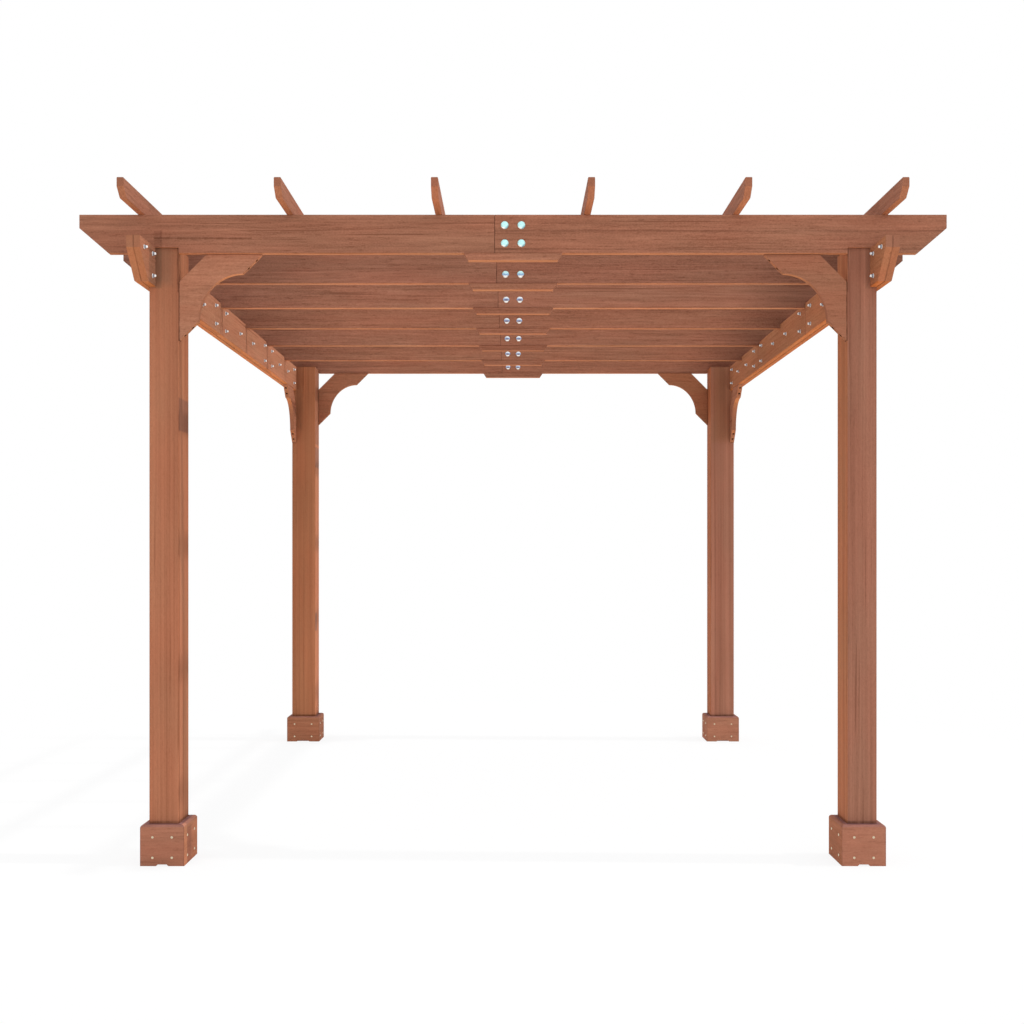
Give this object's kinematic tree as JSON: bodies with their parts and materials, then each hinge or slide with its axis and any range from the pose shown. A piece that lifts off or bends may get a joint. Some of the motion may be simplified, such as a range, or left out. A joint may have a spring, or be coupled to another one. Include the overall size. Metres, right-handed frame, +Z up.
{
  "type": "wooden pergola",
  "caption": "Freestanding timber pergola: square posts with base trim, doubled side beams, spliced rafters with slanted tails, top battens and curved corner braces.",
  "frame": {"origin": "on the ground, in the middle of the plan", "axes": "X across the pergola with +X to the right seen from the front, +Y from the front to the rear along the side beams and battens, +Z up"},
  "size_m": [3.116, 3.658, 2.401],
  "materials": {
    "post_wood": "stained sawn softwood, satin",
    "trim_wood": "stained sawn softwood, satin",
    "brace_wood": "stained sawn softwood, satin",
    "beam_wood": "stained sawn softwood, satin",
    "rafter_wood": "stained sawn softwood, satin",
    "batten_wood": "stained sawn softwood, satin",
    "hardware_metal": "zinc-plated steel bolts, nuts and screws, bright"
  },
  "bodies": {
    "root": {"base_trim_front_left_faces": "trim_wood", "base_trim_front_left_sides": "trim_wood", "base_trim_front_right_faces": "trim_wood", "base_trim_front_right_sides": "trim_wood", "base_trim_rear_left_faces": "trim_wood", "base_trim_rear_left_sides": "trim_wood", "base_trim_rear_right_faces": "trim_wood", "base_trim_rear_right_sides": "trim_wood", "batten_1": "batten_wood", "batten_2": "batten_wood", "batten_3": "batten_wood", "batten_4": "batten_wood", "batten_5": "batten_wood", "batten_6": "batten_wood", "beam_left_inner": "beam_wood", "beam_left_outer": "beam_wood", "beam_right_inner": "beam_wood", "beam_right_outer": "beam_wood", "brace_front_left": "brace_wood", "brace_front_right": "brace_wood", "brace_left_front": "brace_wood", "brace_left_rear": "brace_wood", "brace_rear_left": "brace_wood", "brace_rear_right": "brace_wood", "brace_right_front": "brace_wood", "brace_right_rear": "brace_wood", "post_front_left": "post_wood", "post_front_right": "post_wood", "post_rear_left": "post_wood", "post_rear_right": "post_wood", "rafter_1_left": "rafter_wood", "rafter_1_right": "rafter_wood", "rafter_2_left": "rafter_wood", "rafter_2_right": "rafter_wood", "rafter_3_left": "rafter_wood", "rafter_3_right": "rafter_wood", "rafter_4_left": "rafter_wood", "rafter_4_right": "rafter_wood", "rafter_5_left": "rafter_wood", "rafter_5_right": "rafter_wood", "rafter_6_left": "rafter_wood", "rafter_6_right": "rafter_wood", "rafter_7_left": "rafter_wood", "rafter_7_right": "rafter_wood", "splice_cleats": "rafter_wood"}
  },
  "joints": []
}
